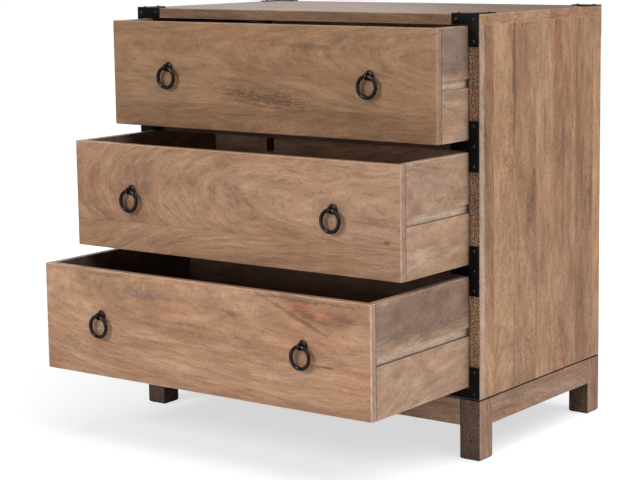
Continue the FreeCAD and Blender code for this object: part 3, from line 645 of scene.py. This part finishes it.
def makeWood(name, look):
    material, t, shader = newMaterial(name)
    where = dict(zip("XYZ", t.split(t.place())))
    vector = t.join(*(where[axis] for axis in look["grain"]))
    shade = look["shade"]
    shared = {key: look[key] for key in (
        "split", "seed", "lowerHeart", "heartLength", "spread", "slope", "waviness", "washAmount", "figure",
        "pores", "stripes")}
    tints = {key: opaque(look[key], shade) for key in ("light", "dark", "wash")}
    wood = useGroup(t, woodGroup, vector=vector, boardWidth=look["width"], boardShift=look["shift"],
                    heartX=look["heart"][0], heartY=look["heart"][1], streak=opaque(look["streak"]),
                    filled=opaque(look["worn"], shade), **shared, **tints)
    worn = useGroup(t, wearGroup, color=wood["Color"], worn=opaque(look["worn"]), reach=woodWear["reach"],
                    amount=look["wear"], rounding=woodWear["rounding"])
    color = worn["Color"]
    grained = t.join(wood["Grain"], wood["Grain"], wood["Grain"])
    for along, across, halfLength, halfWidth, tilt, fray, fineness, tint, strength in look.get("patches", ()):
        patch = useGroup(t, patchGroup, vector=vector, centreX=along, centreY=across, halfLength=halfLength,
                         halfWidth=halfWidth, tilt=tilt, fray=fray, fineness=fineness)
        stained = t.mix(1.0, opaque(tint, shade), grained, "MULTIPLY")
        color = t.mix(t.times(patch["Mask"], strength), color, stained)
    if "grooves" in look:
        color = grooveWearLightAndShadow(t, where, color, grained)
    # painted shade by facing, pale end grain and front speckles
    if "faces" in look:
        faceShaded = useGroup(t, faceShadeGroup, color=color, endColor=opaque(woodWear["endColor"]), **look["faces"])
        color = faceShaded["Color"]
    # painted crevice shade from ambient occlusion
    color = useGroup(t, creviceGroup, color=color, reach=woodWear["dirtReach"], amount=look["dirt"])["Color"]
    # painted shade along the joint; its mask also makes the line metallic so that it does not shine
    if "joint" in look:
        axis, joint, reach = look["joint"]
        lined = useGroup(t, jointShadeGroup, color=color, axis=axis, joint=joint, reach=reach)
        color = lined["Color"]
        t.put(shader["Metallic"], lined["Mask"])
    t.put(shader["Base Color"], color)
    t.put(shader["Roughness"], wood["Roughness"])
    shader["Specular IOR Level"].default_value = look["specular"]
    t.put(shader["Normal"], t.bump(wood["Height"], woodWear["bump"], woodWear["depth"]))
    return material


woods = {name: makeWood(name, look) for name, look in woodLooks.items()}
print("wood finishes made:", len(woods))

# Metal finishes

metalLooks = {
    "blackIron": {
        "color": (0.0032, 0.0026, 0.0029), "patina": (0.007, 0.005, 0.005), "worn": (0.09, 0.078, 0.074),
        "rough": 0.4, "metallic": 0.0, "specular": 0.06, "pits": 420.0, "dents": 90.0, "depth": 0.0005,
        "wear": 0.3,
    },
    "nailIron": {
        "color": (0.016, 0.014, 0.015), "patina": (0.035, 0.03, 0.03), "worn": (0.3, 0.28, 0.27),
        "rough": 0.09, "metallic": 0.6, "specular": 0.5, "pits": 900.0, "dents": 260.0, "depth": 0.0002,
        "wear": 0.4,
    },
    "darkBronze": {
        "color": (0.004, 0.002, 0.0023), "patina": (0.016, 0.006, 0.005), "worn": (0.1, 0.05, 0.04),
        "rough": 0.02, "metallic": 0.0, "specular": 0.2, "pits": 500.0, "dents": 140.0, "depth": 0.0003,
        "wear": 0.25,
    },
    "zincSteel": {
        "color": (0.46, 0.46, 0.45), "patina": (0.3, 0.29, 0.27), "worn": (0.65, 0.65, 0.64),
        "rough": 0.28, "metallic": 1.0, "specular": 0.5, "pits": 900.0, "dents": 300.0, "depth": 0.0001,
        "wear": 0.4,
    },
}
metalWear = {"reach": 0.0009, "cloud": (38.0, 4.0, 0.6), "cloudEdges": (0.4, 0.7), "detail": 2.0,
             "pitRough": 0.2, "pitHeight": 0.3, "bump": 0.5}


def makeMetal(name, look):
    material, t, shader = newMaterial(name)
    where = t.place()
    cloud = t.ramp(t.noise(where, *metalWear["cloud"]), *metalWear["cloudEdges"])
    pits = t.noise(where, look["pits"], metalWear["detail"])
    dents = t.noise(where, look["dents"], metalWear["detail"])
    color = t.mix(cloud, opaque(look["color"]), opaque(look["patina"]))
    worn = useGroup(t, wearGroup, color=color, worn=opaque(look["worn"]), reach=metalWear["reach"],
                    amount=look["wear"])
    t.put(shader["Base Color"], worn["Color"])
    t.put(shader["Roughness"], t.plus(look["rough"], t.times(pits, metalWear["pitRough"])))
    shader["Metallic"].default_value = look["metallic"]
    shader["Specular IOR Level"].default_value = look["specular"]
    height = t.plus(t.times(pits, metalWear["pitHeight"]), dents)
    t.put(shader["Normal"], t.bump(height, metalWear["bump"], look["depth"]))
    return material


metals = {name: makeMetal(name, look) for name, look in metalLooks.items()}
print("metal finishes made:", len(metals))

# The CAD boards keep their shapes and take the finish that suits their grain

boardFinish = {"top_board": "topBoard", "bottom_board": "panelBoard", "back_panel": "innerBoard",
               "drawer_stops": "stopWood"}
for spot in spots:
    boardFinish["base_rail_" + spot] = "crossRail"
for hand in hands:
    boardFinish["base_rail_" + hand] = "sideRail"
    boardFinish["side_panel_" + hand] = "sidePanel"
    for spot in spots:
        boardFinish[f"leg_{spot}_{hand}"] = "legPost"
for level in levels:
    boardFinish["divider_rail_" + level] = "dividerRail"
for name in drawerNames:
    boardFinish[f"drawer_{name}_front"] = "front" + name.capitalize()
    # painted shade on the bottom drawer's back, painted light on the others
    boardFinish[f"drawer_{name}_back"] = "drawerBack" if name == "bottom" else "paleBack"
    boardFinish[f"drawer_{name}_bottom"] = "panelBoard"
    for hand in hands:
        boardFinish[f"drawer_{name}_side_{hand}"] = "drawerSide"
        boardFinish[f"runner_{name}_{hand}"] = "runnerWood"

for name, finish in boardFinish.items():
    board = nodes[name]
    if not board.material_slots:
        board.data.materials.append(woods[finish])
    for slot in board.material_slots:
        slot.material = woods[finish]
print("boards dressed:", len(boardFinish))


# Pieces are added as plain meshes at the origin

mergeDistance = 0.00001


def addPiece(name, mesh, material, body, replaced):
    obj = bpy.data.objects.new(name, mesh)
    scene.collection.objects.link(obj)
    mesh.materials.clear()
    mesh.materials.append(material)
    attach(obj, body)
    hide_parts(*replaced)


def meshFrom(bm, name, smoothDegrees=None):
    mesh = bpy.data.meshes.new(name)
    bmesh.ops.recalc_face_normals(bm, faces=bm.faces)
    bm.to_mesh(mesh)
    bm.free()
    if smoothDegrees is not None:
        mesh.shade_smooth()
        mesh.set_sharp_from_angle(angle=math.radians(smoothDegrees))
    return mesh


def easeEdges(bm, edges, look):
    bmesh.ops.bevel(bm, geom=edges, offset=look["easing"], segments=look["segments"], profile=0.5,
                    affect="EDGES")


def stitch(bm, first, second):
    for i in range(len(first)):
        k = (i + 1) % len(first)
        bm.faces.new((first[i], first[k], second[k], second[i]))


# One body of revolution on a wall, from its rows of radius and y

def addTurned(bm, centreX, centreZ, rows, facets):
    circles = []
    for radius, y in rows:
        circle = []
        for i in range(facets):
            angle = 2 * math.pi * i / facets
            circle.append(bm.verts.new((centreX + radius * math.cos(angle), y,
                                        centreZ + radius * math.sin(angle))))
        circles.append(circle)
    for inner, outer in zip(circles, circles[1:]):
        stitch(bm, inner, outer)
    bm.faces.new(circles[0])
    bm.faces.new(circles[-1])


def bakeModifiers(obj):
    bpy.context.view_layer.update()
    graph = bpy.context.evaluated_depsgraph_get()
    mesh = bpy.data.meshes.new_from_object(obj.evaluated_get(graph))
    bpy.data.objects.remove(obj)
    return mesh


# Straps: the flat iron with its cut edges eased

strap = {"easing": 0.00045, "segments": 2, "flatAngle": 0.02, "sharpAngle": 0.5, "smoothDegrees": 40}
strapNodes = [f"corner_bracket_{spot}_{hand}" for spot in spots for hand in hands]
strapNodes += [f"tee_bracket_{level}_{hand}" for level in levels for hand in hands]
strapNodes += ["bottom_bracket_" + hand for hand in hands]


def makeStrap(node):
    bm = bmesh.new()
    bm.from_mesh(nodes[node].data)
    bmesh.ops.remove_doubles(bm, verts=bm.verts, dist=mergeDistance)
    bmesh.ops.dissolve_limit(bm, angle_limit=strap["flatAngle"], verts=bm.verts, edges=bm.edges)
    sharp = [edge for edge in bm.edges if len(edge.link_faces) == 2 and edge.is_convex
             and edge.calc_face_angle() > strap["sharpAngle"]]
    easeEdges(bm, sharp, strap)
    mesh = meshFrom(bm, node, strap["smoothDegrees"])
    addPiece(node + "_eased", mesh, metals["blackIron"], "root", [node])


for node in strapNodes:
    makeStrap(node)
print("straps made:", len(strapNodes))


# Nails: one domed head on each spot of the CAD group, by geometry nodes

nail = {"facets": 12, "rings": 8, "sizeSpread": 0.05, "seed": 5}


def loosePartBoxes(obj):
    bm = bmesh.new()
    bm.from_mesh(obj.data)
    bmesh.ops.remove_doubles(bm, verts=bm.verts, dist=mergeDistance)
    left = set(bm.verts)
    boxes = []
    while left:
        stack = [left.pop()]
        group = list(stack)
        while stack:
            for edge in stack.pop().link_edges:
                for vert in edge.verts:
                    if vert in left:
                        left.discard(vert)
                        stack.append(vert)
                        group.append(vert)
        low = Vector([min(v.co[i] for v in group) for i in range(3)])
        high = Vector([max(v.co[i] for v in group) for i in range(3)])
        boxes.append((low, high))
    bm.free()
    boxes.sort(key=lambda pair: tuple(pair[0]))
    return boxes


def makeNailTree():
    tree, t, given, out = newGroup("nailHeads", {
        "Spots": "Geometry", "Radius": 0.003, "Rise": 0.002, "Spread": 0.05, "Seed": "Int",
        "Finish": "Material",
    }, {"Heads": "Geometry"}, "GeometryNodeTree")
    ball = t.make("GeometryNodeMeshUVSphere", {"Segments": nail["facets"], "Rings": nail["rings"],
                                               "Radius": 1.0}, "Mesh")
    spot = t.split(t.add("GeometryNodeInputPosition").outputs[0])
    dome = t.join(t.times(spot[0], given["Radius"]), t.times(spot[1], given["Radius"]),
                  t.times(t.math("MAXIMUM", spot[2], 0.0), given["Rise"]))
    flat = t.make("GeometryNodeSetPosition", {"Geometry": ball, "Position": dome})
    smooth = t.make("GeometryNodeSetShadeSmooth", {"Geometry": flat})
    facing = t.make("GeometryNodeInputNamedAttribute", {"Name": "facing"}, "Attribute",
                    data_type="FLOAT_VECTOR")
    align = t.make("FunctionNodeAlignRotationToVector", {"Vector": facing}, axis="Z")
    least = t.minus(1.0, given["Spread"])
    dice = t.make("FunctionNodeRandomValue", {2: least, 3: 1.0, "Seed": given["Seed"]}, 1, data_type="FLOAT")
    copies = t.make("GeometryNodeInstanceOnPoints", {
        "Points": given["Spots"], "Instance": smooth, "Rotation": align, "Scale": dice})
    real = t.make("GeometryNodeRealizeInstances", (copies,))
    t.put(out[0], t.make("GeometryNodeSetMaterial", {"Geometry": real, "Material": given["Finish"]}))
    return tree


def makeNails():
    boxes = loosePartBoxes(nodes["bracket_nails"])
    middle = sum(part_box("top_board")[i].y for i in (0, 1)) / 2
    places, facing = [], []
    for low, high in boxes:
        size = high - low
        centre = (low + high) / 2
        if size.z < size.y:
            places.append((centre.x, centre.y, low.z))
            facing.append((0, 0, 1))
        elif centre.y < middle:
            places.append((centre.x, high.y, centre.z))
            facing.append((0, -1, 0))
        else:
            places.append((centre.x, low.y, centre.z))
            facing.append((0, 1, 0))
    size = boxes[0][1] - boxes[0][0]
    mesh = bpy.data.meshes.new("nailSpots")
    mesh.from_pydata(places, [], [])
    attribute = mesh.attributes.new("facing", "FLOAT_VECTOR", "POINT")
    attribute.data.foreach_set("vector", [value for vector in facing for value in vector])
    obj = bpy.data.objects.new("nailSpots", mesh)
    scene.collection.objects.link(obj)
    modifier = obj.modifiers.new("nailHeads", "NODES")
    tree = makeNailTree()
    modifier.node_group = tree
    settings = {"Radius": max(size) / 2, "Rise": min(size), "Spread": nail["sizeSpread"],
                "Seed": nail["seed"], "Finish": metals["nailIron"]}
    for item in tree.interface.items_tree:
        if item.name in settings:
            modifier[item.identifier] = settings[item.name]
    heads = bakeModifiers(obj)
    addPiece("nail_heads", heads, metals["nailIron"], "root", ["bracket_nails"])
    return len(places)


print("nails made:", makeNails())


# Ring pulls: forged rings that hang in the eye of a turned boss

# waves: bumps round the ring, bumps over bumps, and how far these shift from ring to ring
ring = {"around": 72, "section": 18, "unevenness": 0.012, "waves": (5, 3, 9), "smoothDegrees": 60}


def makeRing(node, body):
    low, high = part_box(node)
    centre = (low + high) / 2
    rod = (high.y - low.y) / 2
    radius = (high.z - low.z) / 2 - rod
    bumps, overBumps, shift = ring["waves"]
    bm = bmesh.new()
    rows = []
    for i in range(ring["around"]):
        angle = 2 * math.pi * i / ring["around"]
        uneven = 1 + math.sin(bumps * angle) * math.cos(overBumps * angle + centre.x * shift)
        thick = rod * (1 - ring["unevenness"] * uneven)
        row = []
        for j in range(ring["section"]):
            turn = 2 * math.pi * j / ring["section"]
            reach = radius + thick * math.cos(turn)
            row.append(bm.verts.new((centre.x + reach * math.sin(angle), centre.y + thick * math.sin(turn),
                                     centre.z + reach * math.cos(angle))))
        rows.append(row)
    for row, after in zip(rows, rows[1:] + rows[:1]):
        stitch(bm, row, after)
    mesh = meshFrom(bm, node, ring["smoothDegrees"])
    addPiece(node + "_forged", mesh, metals["darkBronze"], body, [node])


boss = {
    "facets": 48,
    # share of the radius, share of the dome's depth, from the wall outwards
    "profile": ((1.0, 0.0), (1.0, 0.13), (0.97, 0.19), (0.90, 0.23), (0.84, 0.24), (0.80, 0.30), (0.74, 0.42),
                (0.66, 0.56), (0.54, 0.72), (0.40, 0.85), (0.24, 0.95), (0.10, 0.99)),
    "domeShare": 0.46,
    "smoothDegrees": 40,
}
# sunk: how far the eye reaches into the dome. play: between rod and bore. flare: how soon its root is full
eye = {"width": 0.005, "points": 24, "easing": 0.0008, "segments": 2, "sunk": 0.002, "play": 0.00035,
       "flare": 1.6}


def addEye(bm, centreX, rootY, pinY, pinZ, nose, hole):
    count = eye["points"]
    turns = [2 * math.pi * i / count for i in range(count)]
    outline = []
    for angle in turns:
        y, z = math.sin(angle), math.cos(angle)
        if y < 0:
            outline.append((pinY + nose * y, pinZ + nose * z))
        else:
            full = math.copysign(min(1, abs(z) * eye["flare"]), z)
            outline.append((pinY + (rootY - pinY) * y, pinZ + nose * full))
    loops = []
    for side in (-eye["width"] / 2, eye["width"] / 2):
        rim = [bm.verts.new((centreX + side, y, z)) for y, z in outline]
        bore = [bm.verts.new((centreX + side, pinY + hole * math.sin(angle), pinZ + hole * math.cos(angle)))
                for angle in turns]
        loops.append((rim, bore))
    (rimA, boreA), (rimB, boreB) = loops
    edges = []
    for i in range(count):
        k = (i + 1) % count
        bm.faces.new((rimA[i], rimA[k], boreA[k], boreA[i]))
        bm.faces.new((rimB[i], boreB[i], boreB[k], rimB[k]))
        bm.faces.new((rimA[i], rimB[i], rimB[k], rimA[k]))
        bm.faces.new((boreA[i], boreA[k], boreB[k], boreB[i]))
        edges += [bm.edges.get((loop[i], loop[k])) for loop in (rimA, rimB, boreA, boreB)]
    easeEdges(bm, edges, eye)


def makeBosses(name):
    node = "pull_bosses_" + name
    low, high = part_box(node)
    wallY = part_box(f"drawer_{name}_front")[0].y
    radius = (high.z - low.z) / 2
    centreZ = (high.z + low.z) / 2
    depth = (wallY - low.y) * boss["domeShare"]
    dome = [(radius * share, wallY - depth * out) for share, out in boss["profile"]]
    bm = bmesh.new()
    for hand, centreX in (("left", low.x + radius), ("right", high.x - radius)):
        ringLow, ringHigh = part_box(f"pull_ring_{name}_{hand}")
        rod = (ringHigh.y - ringLow.y) / 2
        pinY = (ringLow.y + ringHigh.y) / 2
        addTurned(bm, centreX, centreZ, dome, boss["facets"])
        addEye(bm, centreX, wallY - eye["sunk"], pinY, ringHigh.z - rod, pinY - low.y, rod + eye["play"])
    mesh = meshFrom(bm, node, boss["smoothDegrees"])
    addPiece(node + "_turned", mesh, metals["darkBronze"], "drawer_" + name, [node])


for name in drawerNames:
    makeBosses(name)
    for hand in hands:
        makeRing(f"pull_ring_{name}_{hand}", f"ring_{name}_{hand}")
print("pulls made:", 2 * len(drawerNames))


# Pull screws: pan heads with a cross recess, seen inside the drawers

screw = {
    "facets": 28,
    "shankShare": 0.44,
    # share of the radius, share of the head's rise, from the front's inner face
    "profile": ((1.0, 0.0), (1.0, 0.45), (0.95, 0.7), (0.82, 0.88), (0.6, 0.97), (0.42, 1.0)),
    "slotWidth": 0.0009,
    "slotReach": 0.0026,
    "slotDepth": 0.0011,
    "smoothDegrees": 35,
}


def makeScrews(name):
    node = "pull_screws_" + name
    boxes = loosePartBoxes(nodes[node])
    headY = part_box(f"drawer_{name}_front")[1].y
    slots = (screw["slotReach"], screw["slotWidth"]), (screw["slotWidth"], screw["slotReach"])
    bm = bmesh.new()
    cutter = bmesh.new()
    for low, high in boxes:
        centre = (low + high) / 2
        radius = (high.z - low.z) / 2
        rows = [(radius * screw["shankShare"], y) for y in (low.y, headY)]
        rows += [(radius * share, headY + (high.y - headY) * rise) for share, rise in screw["profile"]]
        addTurned(bm, centre.x, centre.z, rows, screw["facets"])
        for wide, tall in slots:
            made = bmesh.ops.create_cube(cutter, size=1.0)["verts"]
            bmesh.ops.scale(cutter, vec=(2 * wide, 2 * screw["slotDepth"], 2 * tall), verts=made)
            bmesh.ops.translate(cutter, vec=(centre.x, high.y, centre.z), verts=made)
    body = meshFrom(bm, node, screw["smoothDegrees"])
    base = bpy.data.objects.new("screwBase", body)
    tool = bpy.data.objects.new("screwSlots", meshFrom(cutter, "screwSlots"))
    scene.collection.objects.link(base)
    scene.collection.objects.link(tool)
    cut = base.modifiers.new("slots", "BOOLEAN")
    cut.object = tool
    cut.operation = "DIFFERENCE"
    cut.solver = "EXACT"
    cut.use_self = True
    mesh = bakeModifiers(base)
    bpy.data.objects.remove(tool)
    addPiece(node + "_pan", mesh, metals["zincSteel"], "drawer_" + name, [node])


for name in drawerNames:
    makeScrews(name)
print("screws made")


# Floor, world and lamps

stage = {
    "size": 30, "bounce": 0.8, "seenColor": (0.455, 0.46, 0.475), "glowColor": (0.984, 0.992, 1.0),
    "glow": 0.65, "farGlow": 1.0, "glowEdges": (0.9, 2.4), "worldColor": 0.03, "mirroredColor": 0.45,
}
lamps = {
    "keyLeft": {"place": (-1.2, -3.4, 2.1), "aim": (0.0, -0.2, 0.4), "size": 0.9, "power": 72.0},
    "fillRight": {"place": (3.3, -0.7, 0.9), "aim": (0.3, 0.1, 0.3), "size": 1.8, "power": 2.0},
    "fillFront": {"place": (0.7, -4.4, 0.74), "aim": (0.0, 0.0, 0.5), "size": 1.3, "power": 34.0},
    "fillRear": {"place": (-2.6, 2.8, 1.5), "aim": (0.0, 0.2, 0.4), "size": 1.8, "power": 25.0},
    "softTop": {"place": (1.35, -0.15, 3.15), "aim": (0.05, 0.05, 0.4), "size": 4.4, "power": 172.0},
}


def makeFloor():
    material = bpy.data.materials.new("whiteFloor")
    t = freshTree(material)
    bounce = t.make("ShaderNodeBsdfDiffuse", {"Color": grey(stage["bounce"])})
    seen = t.make("ShaderNodeBsdfDiffuse", {"Color": opaque(stage["seenColor"])})
    away = t.make("ShaderNodeVectorMath", (t.place(),), "Value", operation="LENGTH")
    strength = t.ramp(away, *stage["glowEdges"], stage["glow"], stage["farGlow"])
    glow = t.make("ShaderNodeEmission", {"Color": opaque(stage["glowColor"]), "Strength": strength})
    total = t.make("ShaderNodeAddShader", (seen, glow))
    surface = t.choose(t.add("ShaderNodeLightPath").outputs["Is Camera Ray"], bounce, total)
    t.put(t.add("ShaderNodeOutputMaterial").inputs["Surface"], surface)
    bm = bmesh.new()
    bmesh.ops.create_grid(bm, x_segments=1, y_segments=1, size=stage["size"])
    mesh = bpy.data.meshes.new("floor")
    bm.to_mesh(mesh)
    bm.free()
    mesh.materials.append(material)
    floor = bpy.data.objects.new("floor", mesh)
    scene.collection.objects.link(floor)


def makeWorld():
    world = bpy.data.worlds.new("whiteRoom")
    t = freshTree(world)
    room, mirrored, white = (t.make("ShaderNodeBackground", {"Color": grey(value)})
                             for value in (stage["worldColor"], stage["mirroredColor"], 1.0))
    path = t.add("ShaderNodeLightPath").outputs
    indoors = t.choose(path["Is Glossy Ray"], room, mirrored)
    seen = t.math("MAXIMUM", path["Is Camera Ray"], path["Is Transmission Ray"])
    t.put(t.add("ShaderNodeOutputWorld").inputs["Surface"], t.choose(seen, indoors, white))
    scene.world = world


def makeLamps():
    for name, lamp in lamps.items():
        data = bpy.data.lights.new(name, "AREA")
        data.shape = "SQUARE"
        data.size = lamp["size"]
        data.energy = lamp["power"]
        obj = bpy.data.objects.new(name, data)
        obj.location = lamp["place"]
        aim = Vector(lamp["aim"]) - Vector(lamp["place"])
        obj.rotation_euler = aim.to_track_quat("-Z", "Y").to_euler()
        scene.collection.objects.link(obj)


makeFloor()
makeWorld()
makeLamps()
scene.view_settings.view_transform = "Standard"
print("stage and lamps made")
